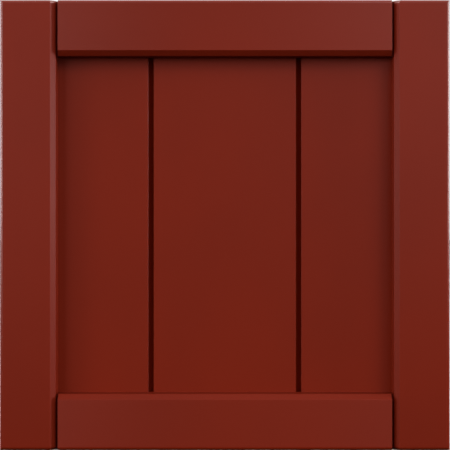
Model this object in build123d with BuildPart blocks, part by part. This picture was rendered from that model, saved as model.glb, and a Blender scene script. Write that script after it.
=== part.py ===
from build123d import *
import os

# Framed board and batten shutter, in millimetres.
# The back lies on Y = 0 and the front looks towards -Y. X runs to the right
# and Z runs up, with the origin at the centre of the back.

# Boards: three tongue and groove boards, side by side, as high as the shutter.
board_names = ("left_board", "centre_board", "right_board")
board_width = 139.7
board_thickness = 19.05
shutter_height = 419.1
board_arris = 0.4

# Joint between two boards. The backs meet, and the faces stand apart to show a
# square reveal with the tongue as its floor.
reveal_width = 5.1
reveal_depth = 8.0
tongue_thickness = 6.0
tongue_engagement = 6.35
tongue_bevel = 1.0
tongue_tip_clearance = 0.4
tongue_side_clearance = 0.1

# Frame: two stiles of full height, with the rails butted between them. Each
# rail shoulder is cut back at the face, to leave a shadow line at the stile.
stile_width = 51.7
rail_width = 51.7
frame_thickness = 19.05
inner_chamfer = 4.7
front_radius = 3.0
arris_radius = 0.4
shoulder_relief = 2.3
shoulder_relief_depth = 9.0

# Countersunk screw holes, drilled from the back through the boards.
screw_hole_diameter = 4.5
countersink_diameter = 9.0
countersink_angle = 82
screw_edge_distance = 35.0
stile_screw_spacing = 122.0

# Places that follow from the sizes.
shutter_width = len(board_names) * board_width
board_front = -board_thickness
frame_front = board_front - frame_thickness
left_side = -shutter_width / 2
right_side = shutter_width / 2
top_end = shutter_height / 2
bottom_end = -shutter_height / 2
rail_length = shutter_width - 2 * stile_width
stile_line = right_side - stile_width / 2
rail_line = top_end - rail_width / 2
tongue_front = board_front + reveal_depth
tongue_length = reveal_width / 2 + tongue_engagement
back_plane = Plane(origin=(0, 0, 0), x_dir=(1, 0, 0), z_dir=(0, 1, 0))

os.makedirs("parts", exist_ok=True)


def write_piece(piece, name):
    """Label one finished piece and write it to its own file."""
    piece.part.label = name
    export_step(piece.part, f"parts/{name}.step")


# Left stile: a bar whose inner front edge is chamfered from end to end. Its
# other front edges are rounded, and the two edges of the chamfer are eased.
with BuildPart() as left_stile:
    with BuildSketch(Plane.XY.offset(bottom_end)) as stile_section:
        with Locations((left_side, board_front)):
            Rectangle(stile_width, frame_thickness, align=(Align.MIN, Align.MAX))
        stile_front_corners = stile_section.vertices().group_by(Axis.Y)[0]
        chamfer(stile_front_corners.sort_by(Axis.X)[-1], inner_chamfer)
    extrude(amount=shutter_height)
    stile_face, stile_chamfer = left_stile.faces().sort_by(Axis.Y)[:2]
    chamfer_sides = stile_chamfer.edges().filter_by(Axis.Z)
    fillet(stile_face.edges() + stile_chamfer.edges() - chamfer_sides, front_radius)
    stile_flats = left_stile.faces().filter_by(GeomType.PLANE)
    stile_chamfer = stile_flats.sort_by(Axis.Y)[1]
    fillet(stile_chamfer.edges().filter_by(Axis.Z), arris_radius)
write_piece(left_stile, "left_stile")

# Right stile: the left one mirrored.
with BuildPart() as right_stile:
    mirror(left_stile.part, about=Plane.YZ)
write_piece(right_stile, "right_stile")

# Top rail: the same kind of bar laid across, chamfered along its lower front
# edge. Behind the relieved shoulders its ends meet the stiles face to face.
with BuildPart() as top_rail:
    with BuildSketch(Plane.YZ.offset(-rail_length / 2)) as rail_section:
        # In this sketch X runs from the front to the back, and Y runs up.
        with Locations((board_front, top_end)):
            Rectangle(frame_thickness, rail_width, align=(Align.MAX, Align.MAX))
        rail_front_corners = rail_section.vertices().group_by(Axis.X)[0]
        chamfer(rail_front_corners.sort_by(Axis.Y)[0], inner_chamfer)
    extrude(amount=rail_length)
    for shoulder, inward in ((-rail_length / 2, Align.MIN), (rail_length / 2, Align.MAX)):
        with Locations((shoulder, frame_front, top_end)):
            Box(
                shoulder_relief,
                shoulder_relief_depth,
                rail_width,
                align=(inward, Align.MIN, Align.MAX),
                mode=Mode.SUBTRACT,
            )
    rail_face = top_rail.faces().sort_by(Axis.Y)[0]
    fillet(rail_face.edges().sort_by(Axis.Z)[-1], front_radius)
    rail_flats = top_rail.faces().filter_by(GeomType.PLANE)
    rail_face, rail_chamfer = rail_flats.sort_by(Axis.Y)[:2]
    rounded_side = rail_face.edges().sort_by(Axis.Z)[-1:]
    fillet(rail_face.edges() + rail_chamfer.edges() - rounded_side, arris_radius)
write_piece(top_rail, "top_rail")

# Bottom rail: the top one mirrored.
with BuildPart() as bottom_rail:
    mirror(top_rail.part, about=Plane.XY)
write_piece(bottom_rail, "bottom_rail")

# Boards: each joined edge carries half of the reveal, with a groove on the
# left of a board and a tongue on its right. The two outer edges are plain,
# flush with the stiles.
for column, board_name in enumerate(board_names):
    left_edge = left_side + column * board_width
    right_edge = left_edge + board_width
    joins_left = column > 0
    joins_right = column < len(board_names) - 1

    with BuildPart() as board:
        with BuildSketch(Plane.XY.offset(bottom_end)) as section:
            with Locations((left_edge, 0)):
                Rectangle(board_width, board_thickness, align=(Align.MIN, Align.MAX))
            if joins_left:
                with Locations((left_edge, board_front)):
                    Rectangle(
                        reveal_width / 2,
                        reveal_depth,
                        align=(Align.MIN, Align.MIN),
                        mode=Mode.SUBTRACT,
                    )
                with Locations((left_edge, tongue_front - tongue_side_clearance)):
                    Rectangle(
                        tongue_length + tongue_tip_clearance,
                        tongue_thickness + 2 * tongue_side_clearance,
                        align=(Align.MIN, Align.MIN),
                        mode=Mode.SUBTRACT,
                    )
            if joins_right:
                with Locations((right_edge, board_front)):
                    Rectangle(
                        reveal_width / 2,
                        reveal_depth,
                        align=(Align.MAX, Align.MIN),
                        mode=Mode.SUBTRACT,
                    )
                with Locations((right_edge, tongue_front)):
                    Rectangle(
                        tongue_length,
                        tongue_thickness,
                        align=(Align.MIN, Align.MIN),
                    )
                chamfer(section.vertices().group_by(Axis.X)[-1], tongue_bevel)
            chamfer(section.vertices().group_by(Axis.Y)[0], board_arris)
            chamfer(section.vertices().group_by(Axis.Y)[-1], board_arris)
        extrude(amount=shutter_height)

        # Two screws hold the board to each rail: one beside each joined edge,
        # and one on the stile's own line at an outer edge.
        left_screw = left_edge + screw_edge_distance if joins_left else -stile_line
        right_screw = right_edge - screw_edge_distance if joins_right else stile_line
        screw_points = [
            (x, z) for x in (left_screw, right_screw) for z in (-rail_line, rail_line)
        ]
        # An outer board has two more screws into its stile, between the rails.
        if not (joins_left and joins_right):
            stile_screw = right_screw if joins_left else left_screw
            screw_points += [
                (stile_screw, -stile_screw_spacing / 2),
                (stile_screw, stile_screw_spacing / 2),
            ]
        with Locations(back_plane):
            with Locations(*screw_points):
                CounterSinkHole(
                    radius=screw_hole_diameter / 2,
                    counter_sink_radius=countersink_diameter / 2,
                    depth=board_thickness,
                    counter_sink_angle=countersink_angle,
                )
    write_piece(board, board_name)
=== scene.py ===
import math

import bpy
from bpy.props import FloatProperty, FloatVectorProperty, PointerProperty
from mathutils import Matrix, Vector


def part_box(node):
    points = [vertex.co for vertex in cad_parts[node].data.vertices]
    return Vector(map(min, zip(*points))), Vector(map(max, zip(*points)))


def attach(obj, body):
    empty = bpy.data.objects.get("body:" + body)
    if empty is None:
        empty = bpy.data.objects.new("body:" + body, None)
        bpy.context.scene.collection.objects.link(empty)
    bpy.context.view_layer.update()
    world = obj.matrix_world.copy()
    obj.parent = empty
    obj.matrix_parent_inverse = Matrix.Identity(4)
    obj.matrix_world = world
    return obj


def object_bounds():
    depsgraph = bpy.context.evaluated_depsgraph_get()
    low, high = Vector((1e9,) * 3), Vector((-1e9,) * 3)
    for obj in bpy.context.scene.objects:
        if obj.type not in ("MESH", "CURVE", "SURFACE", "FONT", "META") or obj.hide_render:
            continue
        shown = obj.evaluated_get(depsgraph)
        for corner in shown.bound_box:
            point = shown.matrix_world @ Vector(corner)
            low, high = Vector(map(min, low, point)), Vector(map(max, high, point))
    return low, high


bl_info = {
    "name": "Board and batten shutter",
    "version": (1, 0, 0),
    "blender": (4, 5, 0),
    "location": "View3D > Sidebar > Shutter",
    "description": "Paints a board and batten shutter, drives its back screws and lights it",
    "category": "Object",
}

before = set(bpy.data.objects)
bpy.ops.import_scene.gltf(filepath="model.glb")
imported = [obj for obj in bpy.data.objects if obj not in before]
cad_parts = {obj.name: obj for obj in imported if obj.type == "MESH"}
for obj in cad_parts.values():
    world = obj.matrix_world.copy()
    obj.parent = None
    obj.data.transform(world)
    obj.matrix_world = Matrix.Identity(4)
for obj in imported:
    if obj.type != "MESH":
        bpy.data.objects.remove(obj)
cad_low, cad_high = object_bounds()

BODY = "root"
STILES = ("left_stile", "right_stile")
RAILS = ("top_rail", "bottom_rail")
BOARDS = ("left_board", "centre_board", "right_board")

# Fineness of the wood grain under the paint, of the pores in end grain and of clouds in the film,
# in cells per metre.
GRAIN_ACROSS = 260.0
GRAIN_ALONG = 6.0
PORES = 900.0
CLOUDS = 9.0
# How much deeper or paler the film is where it went on thick or thin, as a share.
TINT_SPREAD = 0.03
# How far clouds and grain each change the film's roughness, and what end grain adds to it.
UNEVEN_ROUGHNESS = 0.02
END_GRAIN_ROUGHNESS = 0.12
# Roughness of chalky paint.
MATT = 0.9

# Radius of the rounded outer edges of the stiles and rails, in metres, as all lengths here are.
# Their slick film begins a margin before the rounding and comes in over a fade, and goes out over
# another fade down the side.
EDGE_RADIUS = 0.003
EDGE_MARGIN = 0.0002
EDGE_FADE = 0.0006
SIDE_FADE = 0.0005

# Painted light in the reveals keeps these margins from the boards' faces, from their backs and
# from the shutter's outline. It fades in and out in depth, and more quickly towards the outline.
FACE_MARGIN = 0.0006
BACK_MARGIN = 0.0005
OUTLINE_MARGIN = 0.0003
DEPTH_FADE = 0.002
OUTLINE_FADE = 0.0005

# The zinc on the screws: patches per metre, the colours of bright and dull ones, the roughness
# of bright ones and what is added on dull ones.
ZINC_PATCHES = 700.0
ZINC_BRIGHT = (0.62, 0.62, 0.6, 1.0)
ZINC_DULL = (0.5, 0.51, 0.52, 1.0)
ZINC_ROUGHNESS = 0.26
ZINC_EXTRA_ROUGHNESS = 0.16

# The screws' form: the sides of their round, the share of the shank that is left at the tip and of
# a drive blade at its bottom, and the bevel round the face.
SCREW_SIDES = 48
TIP_SHARE = 0.08
BLADE_SHARE = 0.5
FACE_BEVEL = 0.00012
# How nearly a face has to look straight up or down to count as an end, as a cosine.
END_FACE = 0.9
# How much further each screw of a board is turned than the one before it, in radians.
TURN_STEP = 0.9
# Edges between faces that meet at more than this stay sharp.
SMOOTH_ANGLE = math.radians(35)

# The floor, and how it looks to the camera and to the rays that light the shutter.
FLOOR_SIZE = 30.0
FLOOR_GAP = 0.0004
FLOOR_SEEN = (0.8, 0.8, 0.79, 1.0)
FLOOR_UNSEEN = (0.04, 0.04, 0.04, 1.0)
# How bright the room is to those rays: low down, higher up before the shutter, and what the
# backdrop behind it adds to all of them and to mirrored ones.
LOW_GLOW = 0.3
FRONT_GLOW = 0.04
BACKDROP_GLOW = 0.6
MIRRORED_GLOW = 0.5

# The photograph's frame is cut a seventh of a pixel off the shutter's middle. These are shares of
# its width, to the right and up.
LENS_SHIFT = (0.0003, -0.0001)

# Soft lights round the shutter: the span of azimuth and of elevation that each one fills, in
# degrees, and how bright it looks. Azimuth 0 is straight before the shutter, and rises to the
# right.
SOFT_LIGHTS = {
    "key_light": ((-68, -56), (0, 10), 19.8),
    "far_left_light": ((-90, -70), (0, 20), 2.6),
    "left_light": ((-56, -24), (-10, 15), 4.7),
    "upper_left_light": ((-72, -24), (20, 50), 1.8),
    "front_light": ((4, 24), (0, 20), 1.4),
    "right_light": ((72, 90), (0, 20), 16.4),
    "right_strip_light": ((34, 50), (-6, 6), 6.0),
    "upper_right_light": ((24, 60), (15, 40), 5.3),
    "front_top_light": ((-20, 20), (20, 60), 0.7),
    "top_light": ((-60, 60), (60, 88), 1.0),
    "left_rim_light": ((-106, -91), (-5, 50), 9.0),
    "right_rim_light": ((91, 106), (-5, 50), 8.0),
}


class PaintSettings(bpy.types.PropertyGroup):
    """The painted finish of the boards and the frame."""

    colour: FloatVectorProperty(
        name="Paint colour",
        description="Colour of the satin paint, as light it reflects",
        subtype="COLOR",
        size=3,
        min=0.0,
        max=1.0,
        default=(0.165, 0.0106, 0.0016),
    )
    roughness: FloatProperty(
        name="Board roughness",
        description="How matt the film on the boards is: 0 is a mirror, 1 is chalk",
        subtype="FACTOR",
        min=0.05,
        max=1.0,
        default=0.40,
    )
    frame_roughness: FloatProperty(
        name="Frame roughness",
        description="How matt the film on the frame is, which is a little duller",
        min=0.0,
        max=1.0,
        default=0.50,
    )
    # Painted light: the reveals get this colour, lighter than the paint and without sheen, so
    # their shaded floors look brighter.
    reveal_painted_light_colour: FloatVectorProperty(
        name="Reveal colour",
        description="Colour of the dry, matt film down in the reveals, as light it reflects",
        subtype="COLOR",
        size=3,
        min=0.0,
        max=1.0,
        default=(0.22, 0.0143, 0.0022),
    )
    edge_roughness: FloatProperty(
        name="Edge roughness",
        description="How matt the frame's rounded outer edges are, where the film dries slicker",
        min=0.0,
        max=1.0,
        default=0.22,
    )
    edge_gloss: FloatProperty(
        name="Edge gloss",
        description="How much of a glossy skin the film has on the rounded outer edges",
        min=0.0,
        max=1.0,
        default=0.55,
    )
    sheen: FloatProperty(
        name="Sheen",
        description="How strongly the paint mirrors, where 0.5 is a full gloss film",
        min=0.0,
        max=1.0,
        default=0.18,
    )
    peel_depth: FloatProperty(
        name="Orange peel depth",
        description="Height of the fine ripple that a sprayed film dries with",
        subtype="DISTANCE",
        unit="LENGTH",
        default=0.000004,
    )
    peel_size: FloatProperty(
        name="Orange peel size",
        description="Distance from one ripple to the next",
        subtype="DISTANCE",
        unit="LENGTH",
        default=0.0016,
    )
    grain_depth: FloatProperty(
        name="Grain depth",
        description="Height of the wood grain that still shows through the film",
        subtype="DISTANCE",
        unit="LENGTH",
        default=0.000006,
    )
    stile_crown: FloatProperty(
        name="Stile crown",
        description="How far the stiles' faces lean back at their ends, as a slope",
        min=0.0,
        max=0.5,
        default=0.10,
    )
    rail_crown: FloatProperty(
        name="Rail crown",
        description="How far the rails' faces lean back at their ends, as a slope",
        min=0.0,
        max=0.5,
        default=0.18,
    )


class ScrewSettings(bpy.types.PropertyGroup):
    """The countersunk screws that hold the boards to the frame, driven from the back."""

    countersink_diameter: FloatProperty(
        name="Countersink diameter",
        description="Diameter of each countersink at the back of a board",
        unit="LENGTH",
        default=0.009,
    )
    countersink_angle: FloatProperty(
        name="Countersink angle",
        description="Full angle of the countersink's cone",
        subtype="ANGLE",
        default=math.radians(82),
    )
    sunk: FloatProperty(
        name="Sunk by",
        description="How far a screw's face lies below the back of the board",
        unit="LENGTH",
        default=0.00035,
    )
    shank_diameter: FloatProperty(
        name="Shank diameter",
        description="Diameter of the plain shank in its clearance hole",
        unit="LENGTH",
        default=0.0042,
    )
    shank_length: FloatProperty(
        name="Shank length",
        description="From the head to the start of the point",
        unit="LENGTH",
        default=0.0135,
    )
    clearance: FloatProperty(
        name="Clearance",
        description="Between a screw's head and the wall of its countersink",
        unit="LENGTH",
        default=0.00002,
    )
    drive_length: FloatProperty(
        name="Drive length",
        description="Across the cross that the driver turns",
        unit="LENGTH",
        default=0.0044,
    )
    drive_width: FloatProperty(
        name="Drive width",
        description="Width of each blade of the cross",
        unit="LENGTH",
        default=0.00085,
    )
    drive_depth: FloatProperty(
        name="Drive depth",
        description="Depth of the cross",
        unit="LENGTH",
        default=0.0016,
    )
    edge_distance: FloatProperty(
        name="Distance from a joined edge",
        description="From the joint between two boards to the screws beside it",
        unit="LENGTH",
        default=0.035,
    )
    stile_spacing: FloatProperty(
        name="Stile screw spacing",
        description="Between the two screws that a stile has between the rails",
        unit="LENGTH",
        default=0.122,
    )


class StageSettings(bpy.types.PropertyGroup):
    """The floor, the light and the camera."""

    light_distance: FloatProperty(
        name="Light distance",
        description="From the shutter to each soft light",
        unit="LENGTH",
        default=12.0,
    )
    brightness: FloatProperty(
        name="Brightness",
        description="Strength of all the soft lights together",
        min=0.0,
        default=1.0,
    )
    camera_distance: FloatProperty(
        name="Camera distance",
        description="From the camera to the front of the frame",
        unit="LENGTH",
        default=1.09,
    )
    view_width: FloatProperty(
        name="View width",
        description="Width that the picture takes in at the front of the frame",
        unit="LENGTH",
        default=0.41836,
    )


class Number:
    """A value that a material's nodes work out, written as ordinary arithmetic."""

    def __init__(self, finish, socket):
        self.finish = finish
        self.socket = socket

    def __add__(self, other):
        return self.finish.maths("ADD", self, other)

    def __radd__(self, other):
        return self.finish.maths("ADD", other, self)

    def __sub__(self, other):
        return self.finish.maths("SUBTRACT", self, other)

    def __rsub__(self, other):
        return self.finish.maths("SUBTRACT", other, self)

    def __mul__(self, other):
        return self.finish.maths("MULTIPLY", self, other)

    def __rmul__(self, other):
        return self.finish.maths("MULTIPLY", other, self)

    def smooth(self, low, high):
        """0 below low, 1 above high, and an even S between them."""
        step = self.finish.add(
            "ShaderNodeMapRange",
            {"interpolation_type": "SMOOTHSTEP"},
            {"Value": self, "From Min": low, "From Max": high},
        )
        return Number(self.finish, step.outputs["Result"])


class Finish:
    """Builds the node tree of one material or of the world."""

    def __init__(self, tree):
        self.tree = tree
        tree.nodes.clear()

    def add(self, kind, settings=None, values=None):
        """One node of a kind, with its settings made and then its sockets filled or linked."""
        node = self.tree.nodes.new(kind)
        for name, setting in (settings or {}).items():
            setattr(node, name, setting)
        for name, value in (values or {}).items():
            socket = node.inputs[name]
            if isinstance(value, Number):
                self.tree.links.new(value.socket, socket)
            elif isinstance(value, bpy.types.NodeSocket):
                self.tree.links.new(value, socket)
            else:
                socket.default_value = value
        return node

    def maths(self, operation, first, second):
        """One step of arithmetic on numbers or values."""
        node = self.add("ShaderNodeMath", {"operation": operation}, {0: first, 1: second})
        return Number(self, node.outputs[0])

    def output(self, node, name):
        """One output of a node, as a value to reckon with."""
        return Number(self, node.outputs[name])

    def mixed(self, share, first, second):
        """A blend of two colours."""
        node = self.add("ShaderNodeMix", {"data_type": "RGBA"}, {0: share, 6: first, 7: second})
        return node.outputs[2]

    def noise(self, place, scale, detail=2.0, roughness=0.5):
        """Even cloudy noise about 0.5, from a place."""
        node = self.add(
            "ShaderNodeTexNoise",
            {"noise_dimensions": "3D"},
            {"Vector": place, "Scale": scale, "Detail": detail, "Roughness": roughness},
        )
        return Number(self, node.outputs[0])

    def place(self, stretch=(1.0, 1.0, 1.0)):
        """The piece's own coordinates in metres, stretched along the axes."""
        own = self.add("ShaderNodeTexCoord").outputs["Object"]
        values = {"Vector": own, "Scale": stretch}
        return self.add("ShaderNodeMapping", {"vector_type": "POINT"}, values).outputs[0]

    def axis(self, vector, name):
        """One component of a vector."""
        return self.output(self.add("ShaderNodeSeparateXYZ", None, {"Vector": vector}), name)

    def outermost(self, place):
        """How far out to the side or up and down a place is, whichever is more."""
        sides = [self.maths("ABSOLUTE", self.axis(place, name), 0.0) for name in "XZ"]
        return self.maths("MAXIMUM", *sides)

    def faces(self, name):
        """1 where the surface faces along an axis, either way, and 0 where it runs along it."""
        part = self.axis(self.add("ShaderNodeNewGeometry").outputs["Normal"], name)
        return part * part

    def bump(self, height, distance, under=None):
        """A surface normal from a height between 0 and 1, that many metres deep."""
        values = {"Height": height, "Distance": distance, "Strength": 1.0}
        if under is not None:
            values["Normal"] = under
        return self.add("ShaderNodeBump", None, values).outputs[0]

    def shader(self, values):
        """A shader with its sockets filled or linked."""
        return self.add("ShaderNodeBsdfPrincipled", None, values).outputs[0]

    def surface(self, shader):
        """Shows a shader on the piece."""
        self.add("ShaderNodeOutputMaterial", None, {"Surface": shader})


def new_material(name):
    """An empty material, and the means to build it."""
    material = bpy.data.materials.new(name)
    material.use_nodes = True
    return material, Finish(material.node_tree)


def on_rounded_edge(finish, metres):
    """1 on the rounded outer edges of a stile or rail, and 0 on its face and down its side."""
    rim = cad_high.x - EDGE_RADIUS - EDGE_MARGIN
    side = cad_low.y + EDGE_RADIUS
    outside = finish.outermost(metres).smooth(rim, rim + EDGE_FADE)
    return outside * (1.0 - finish.axis(metres, "Y").smooth(side, side + SIDE_FADE))


def painted_light_in_reveals(finish, metres):
    """Where the reveals get painted light: 1 down in the joints between boards, and 0 on their
    faces, backs and outer sides.
    """
    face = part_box(BOARDS[0])[0][1] + FACE_MARGIN
    back = cad_high.y - BACK_MARGIN
    outline = cad_high.x - OUTLINE_MARGIN
    depth = finish.axis(metres, "Y")
    below_face = depth.smooth(face, face + DEPTH_FADE)
    before_back = 1.0 - depth.smooth(back - DEPTH_FADE, back)
    inside = 1.0 - finish.outermost(metres).smooth(outline - OUTLINE_FADE, outline)
    return below_face * before_back * inside


def satin_paint(name, settings, grain_axis, roughness, crown, half_length):
    """Sprayed satin paint over planed wood, with the grain running along one axis.

    The crown is the slope with which the face leans back at its ends, half a length from the
    middle. Only the frame has one, and its rounded outer edges are slick. A piece without one is
    a board, and down in its reveals the paint is a lighter matt film with no sheen: painted light
    on the shaded reveal floors.
    """
    material, finish = new_material(name)
    metres = finish.place()
    stretch = [GRAIN_ACROSS] * 3
    stretch["XYZ".index(grain_axis)] = GRAIN_ALONG
    long_grain = finish.noise(finish.place(stretch), 1.0, detail=3.0, roughness=0.55)
    pores = finish.noise(metres, PORES)
    end_grain = finish.faces(grain_axis).smooth(0.7, 0.95)
    grain = long_grain + end_grain * (2.0 * pores - long_grain)
    peel = finish.noise(metres, 1.0 / settings.peel_size, detail=1.0)
    clouds = finish.noise(metres, CLOUDS)

    # The film is a shade deeper where it went on thicker.
    thin, thick = (
        tuple(channel * share for channel in settings.colour) + (1.0,)
        for share in (1.0 + TINT_SPREAD, 1.0 - TINT_SPREAD)
    )
    tint = finish.mixed(clouds.smooth(0.3, 0.7), thin, thick)
    rough = roughness + UNEVEN_ROUGHNESS * (clouds + grain - 1.0) + END_GRAIN_ROUGHNESS * end_grain
    gloss = 0.0
    relief = None
    if crown:
        rounded = on_rounded_edge(finish, metres)
        rough = rough + rounded * (settings.edge_roughness - roughness)
        gloss = rounded * settings.edge_gloss
        along = finish.axis(metres, grain_axis) * (1.0 / half_length)
        relief = finish.bump(1.0 - along * along, crown * half_length / 2)
    relief = finish.bump(peel, settings.peel_depth, relief)
    relief = finish.bump(grain, settings.grain_depth, relief)
    satin = finish.shader(
        {
            "Base Color": tint,
            "Roughness": rough,
            "Specular IOR Level": settings.sheen,
            "Coat Weight": gloss,
            "Coat Roughness": settings.edge_roughness,
            "Normal": relief,
        }
    )
    if crown:
        finish.surface(satin)
        return material
    # Painted light: down in the reveals, a film lighter than the paint and with no sheen.
    matt = finish.shader(
        {
            "Base Color": (*settings.reveal_painted_light_colour, 1.0),
            "Roughness": MATT,
            "Specular IOR Level": 0.0,
            "Normal": relief,
        }
    )
    films = {0: painted_light_in_reveals(finish, metres), 1: satin, 2: matt}
    finish.surface(finish.add("ShaderNodeMixShader", None, films).outputs[0])
    return material


def zinc_plate(name):
    """Bright zinc plating on a steel screw, in fine patches that are more or less dull."""
    material, finish = new_material(name)
    dull = finish.noise(finish.place(), ZINC_PATCHES)
    colour = finish.mixed(dull, ZINC_BRIGHT, ZINC_DULL)
    rough = ZINC_ROUGHNESS + ZINC_EXTRA_ROUGHNESS * dull
    finish.surface(finish.shader({"Base Color": colour, "Metallic": 1.0, "Roughness": rough}))
    return material


def dress(node, material):
    """Puts one material on all of a CAD node."""
    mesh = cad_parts[node].data
    mesh.materials.clear()
    mesh.materials.append(material)


class SHUTTER_OT_paint(bpy.types.Operator):
    """Paints the stiles, rails and boards"""

    bl_idname = "shutter.paint"
    bl_label = "Paint the shutter"

    def execute(self, context):
        settings = context.scene.shutter_paint
        for nodes, name, grain_axis, roughness, crown in (
            (STILES, "stile_paint", "Z", settings.frame_roughness, settings.stile_crown),
            (RAILS, "rail_paint", "X", settings.frame_roughness, settings.rail_crown),
            (BOARDS, "board_paint", "Z", settings.roughness, 0.0),
        ):
            half_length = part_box(nodes[0])[1]["XYZ".index(grain_axis)]
            material = satin_paint(name, settings, grain_axis, roughness, crown, half_length)
            for node in nodes:
                dress(node, material)
        return {"FINISHED"}


def looks_down(face):
    """Whether a face is the lower end of a piece."""
    return face.normal.z < -END_FACE


def looks_up(face):
    """Whether a face is the upper end of a piece."""
    return face.normal.z > END_FACE


def pick_faces(piece, rule):
    """Opens a piece in edit mode, with just the faces selected that keep a rule."""
    bpy.context.tool_settings.mesh_select_mode = (False, False, True)
    bpy.ops.object.select_all(action="DESELECT")
    piece.select_set(True)
    bpy.context.view_layer.objects.active = piece
    bpy.ops.object.mode_set(mode="EDIT")
    bpy.ops.mesh.select_all(action="DESELECT")
    bpy.ops.object.mode_set(mode="OBJECT")
    for face in piece.data.polygons:
        face.select = rule(face)
    bpy.ops.object.mode_set(mode="EDIT")


def settle(piece):
    """Leaves edit mode, and moves a piece's place, turn and size into its mesh."""
    if bpy.context.mode == "EDIT_MESH":
        bpy.ops.object.mode_set(mode="OBJECT")
    bpy.ops.object.select_all(action="DESELECT")
    piece.select_set(True)
    bpy.context.view_layer.objects.active = piece
    bpy.ops.object.transform_apply(location=True, rotation=True, scale=True)


def cut_drive(screw, settings, turn):
    """Cuts one blade of the driver's cross into a screw's face. It narrows as it goes down."""
    bpy.ops.mesh.primitive_cube_add(
        size=1.0,
        scale=(settings.drive_length, settings.drive_width, 2 * settings.drive_depth),
        rotation=(0.0, 0.0, turn),
    )
    blade = bpy.context.object
    settle(blade)
    pick_faces(blade, looks_down)
    bpy.ops.transform.resize(value=(BLADE_SHARE, BLADE_SHARE, 1.0))
    settle(blade)
    cut = screw.modifiers.new("drive", "BOOLEAN")
    cut.operation = "DIFFERENCE"
    cut.solver = "EXACT"
    cut.object = blade
    bpy.context.view_layer.objects.active = screw
    bpy.ops.object.modifier_apply(modifier=cut.name)
    bpy.data.meshes.remove(blade.data)


def turn_screw(settings):
    """One countersunk screw, its face's middle at the origin and its point towards -Y."""
    slope = math.tan(settings.countersink_angle / 2)
    head = settings.countersink_diameter / 2 - settings.sunk * slope - settings.clearance
    shank = settings.shank_diameter / 2
    depth = (head - shank) / slope
    bpy.ops.object.select_all(action="DESELECT")
    bpy.ops.mesh.primitive_cone_add(
        vertices=SCREW_SIDES,
        radius1=shank,
        radius2=head,
        depth=depth,
        location=(0.0, 0.0, -depth / 2),
    )
    screw = bpy.context.object
    settle(screw)
    pick_faces(screw, looks_down)
    # The shank, and then the point, which is as long as the shank is thick.
    for length in (settings.shank_length, settings.shank_diameter):
        bpy.ops.mesh.extrude_region_move(TRANSFORM_OT_translate={"value": (0.0, 0.0, -length)})
    bpy.ops.transform.resize(value=(TIP_SHARE, TIP_SHARE, 1.0))
    settle(screw)
    pick_faces(screw, looks_up)
    bpy.ops.mesh.bevel(offset=FACE_BEVEL, segments=2, affect="EDGES")
    settle(screw)
    for turn in (0.0, math.pi / 2):
        cut_drive(screw, settings, turn)
    screw.rotation_euler = (-math.pi / 2, 0.0, 0.0)
    settle(screw)
    return screw


def screw_places(settings):
    """Each board with the (x, z) places of its screws."""
    stile_line = sum(corner[0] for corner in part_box("right_stile")) / 2
    rail_line = sum(corner[2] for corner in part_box("top_rail")) / 2
    board_width = (cad_high.x - cad_low.x) / len(BOARDS)
    for column, board in enumerate(BOARDS):
        left_x = cad_low.x + column * board_width + settings.edge_distance
        right_x = cad_low.x + (column + 1) * board_width - settings.edge_distance
        outer_x = None
        if column == 0:
            left_x = outer_x = -stile_line
        if column == len(BOARDS) - 1:
            right_x = outer_x = stile_line
        places = [(x, z) for x in (left_x, right_x) for z in (-rail_line, rail_line)]
        if outer_x is not None:
            half_spacing = settings.stile_spacing / 2
            places += [(outer_x, z) for z in (-half_spacing, half_spacing)]
        yield board, places


class SHUTTER_OT_screws(bpy.types.Operator):
    """Drives the countersunk screws into the back of the boards"""

    bl_idname = "shutter.screws"
    bl_label = "Drive the back screws"

    def execute(self, context):
        settings = context.scene.shutter_screws
        pattern = turn_screw(settings)
        plating = zinc_plate("screw_zinc")
        for board, places in screw_places(settings):
            bpy.ops.object.select_all(action="DESELECT")
            for count, (x, z) in enumerate(places):
                screw = bpy.data.objects.new(f"{board}_screws", pattern.data.copy())
                context.scene.collection.objects.link(screw)
                screw.location = (x, cad_high.y - settings.sunk, z)
                # Each stops turning where it is tight.
                screw.rotation_euler = (0.0, TURN_STEP * count, 0.0)
                screw.select_set(True)
                context.view_layer.objects.active = screw
            bpy.ops.object.join()
            settle(screw)
            screw.name = f"{board}_screws"
            bpy.ops.object.shade_smooth_by_angle(angle=SMOOTH_ANGLE)
            screw.data.materials.append(plating)
            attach(screw, BODY)
        bpy.data.meshes.remove(pattern.data)
        return {"FINISHED"}


class SHUTTER_OT_stage(bpy.types.Operator):
    """Lays the floor, hangs the soft lights and sets the camera"""

    bl_idname = "shutter.stage"
    bl_label = "Set the stage"

    def execute(self, context):
        settings = context.scene.shutter_stage
        lay_floor()
        light_room(context.scene)
        hang_lights(settings)
        set_camera(context.scene, settings)
        context.scene.view_settings.view_transform = "Standard"
        return {"FINISHED"}


def lay_floor():
    """A pale floor under the shutter. It looks pale, and throws little light back up."""
    bpy.ops.object.select_all(action="DESELECT")
    bpy.ops.mesh.primitive_plane_add(size=FLOOR_SIZE, location=(0.0, 0.0, cad_low.z - FLOOR_GAP))
    floor = bpy.context.object
    floor.name = "floor"
    material, finish = new_material("floor_paint")
    seen = finish.output(finish.add("ShaderNodeLightPath"), "Is Camera Ray")
    colour = finish.mixed(seen, FLOOR_UNSEEN, FLOOR_SEEN)
    finish.surface(
        finish.shader({"Base Color": colour, "Roughness": MATT, "Specular IOR Level": 0.0})
    )
    floor.data.materials.append(material)


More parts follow.
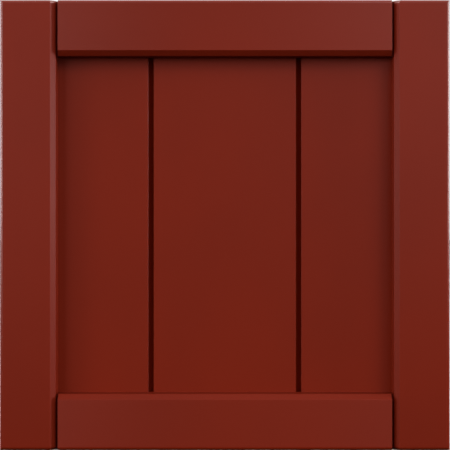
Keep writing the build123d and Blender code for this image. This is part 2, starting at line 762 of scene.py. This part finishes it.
def light_room(scene):
    """A room that is white to look at, bright behind the shutter and dim before it."""
    world = bpy.data.worlds.new("room")
    world.use_nodes = True
    scene.world = world
    finish = Finish(world.node_tree)
    light_path = finish.add("ShaderNodeLightPath")
    seen = finish.output(light_path, "Is Camera Ray")
    mirrored = finish.output(light_path, "Is Glossy Ray")
    towards = finish.add("ShaderNodeTexCoord").outputs["Generated"]
    behind = finish.axis(towards, "Y").smooth(-0.05, 0.3)
    above = finish.axis(towards, "Z").smooth(-0.05, 0.05)
    backdrop = behind * (BACKDROP_GLOW + MIRRORED_GLOW * mirrored)
    glow = LOW_GLOW + above * (FRONT_GLOW - LOW_GLOW + backdrop)
    strength = seen + (1.0 - seen) * glow
    values = {"Color": (1.0, 1.0, 1.0, 1.0), "Strength": strength}
    background = finish.add("ShaderNodeBackground", None, values)
    finish.add("ShaderNodeOutputWorld", None, {"Surface": background.outputs[0]})


def hang_lights(settings):
    """Hangs the soft lights, each turned to the middle of the shutter."""
    distance = settings.light_distance
    for name, (azimuths, elevations, radiance) in SOFT_LIGHTS.items():
        azimuth = math.radians(sum(azimuths) / 2)
        elevation = math.radians(sum(elevations) / 2)
        half_width = math.radians(azimuths[1] - azimuths[0]) / 2
        half_height = math.radians(elevations[1] - elevations[0]) / 2
        direction = Vector(
            (
                math.sin(azimuth) * math.cos(elevation),
                -math.cos(azimuth) * math.cos(elevation),
                math.sin(elevation),
            )
        )
        lamp = bpy.data.lights.new(name, "AREA")
        lamp.shape = "RECTANGLE"
        lamp.size = 2 * distance * math.tan(half_width) * math.cos(elevation)
        lamp.size_y = 2 * distance * math.tan(half_height)
        lamp.energy = math.pi * lamp.size * lamp.size_y * radiance * settings.brightness
        light = bpy.data.objects.new(name, lamp)
        bpy.context.scene.collection.objects.link(light)
        light.location = direction * distance
        light.rotation_euler = direction.to_track_quat("Z", "Y").to_euler()
        light.visible_camera = False


def set_camera(scene, settings):
    """A long lens square on to the front, with the shutter filling the picture."""
    lens = bpy.data.cameras.new("camera")
    lens.lens = lens.sensor_width * settings.camera_distance / settings.view_width
    lens.shift_x, lens.shift_y = LENS_SHIFT
    camera = bpy.data.objects.new("camera", lens)
    scene.collection.objects.link(camera)
    camera.location = (0.0, cad_low.y - settings.camera_distance, 0.0)
    camera.rotation_euler = (math.pi / 2, 0.0, 0.0)
    scene.camera = camera


class SHUTTER_PT_panel(bpy.types.Panel):
    """Lists the steps that dress the shutter"""

    bl_idname = "SHUTTER_PT_panel"
    bl_label = "Board and batten shutter"
    bl_space_type = "VIEW_3D"
    bl_region_type = "UI"
    bl_category = "Shutter"

    def draw(self, context):
        scene = context.scene
        for settings, operator in (
            (scene.shutter_paint, SHUTTER_OT_paint),
            (scene.shutter_screws, SHUTTER_OT_screws),
            (scene.shutter_stage, SHUTTER_OT_stage),
        ):
            box = self.layout.box()
            for name in settings.bl_rna.properties.keys():
                if name not in ("rna_type", "name"):
                    box.prop(settings, name)
            box.operator(operator.bl_idname)


CLASSES = (
    PaintSettings,
    ScrewSettings,
    StageSettings,
    SHUTTER_OT_paint,
    SHUTTER_OT_screws,
    SHUTTER_OT_stage,
    SHUTTER_PT_panel,
)


def register():
    for item in CLASSES:
        bpy.utils.register_class(item)
    bpy.types.Scene.shutter_paint = PointerProperty(type=PaintSettings)
    bpy.types.Scene.shutter_screws = PointerProperty(type=ScrewSettings)
    bpy.types.Scene.shutter_stage = PointerProperty(type=StageSettings)


def unregister():
    del bpy.types.Scene.shutter_stage
    del bpy.types.Scene.shutter_screws
    del bpy.types.Scene.shutter_paint
    for item in reversed(CLASSES):
        bpy.utils.unregister_class(item)


def main():
    register()
    bpy.ops.shutter.paint()
    bpy.ops.shutter.screws()
    bpy.ops.shutter.stage()


if __name__ == "__main__":
    main()
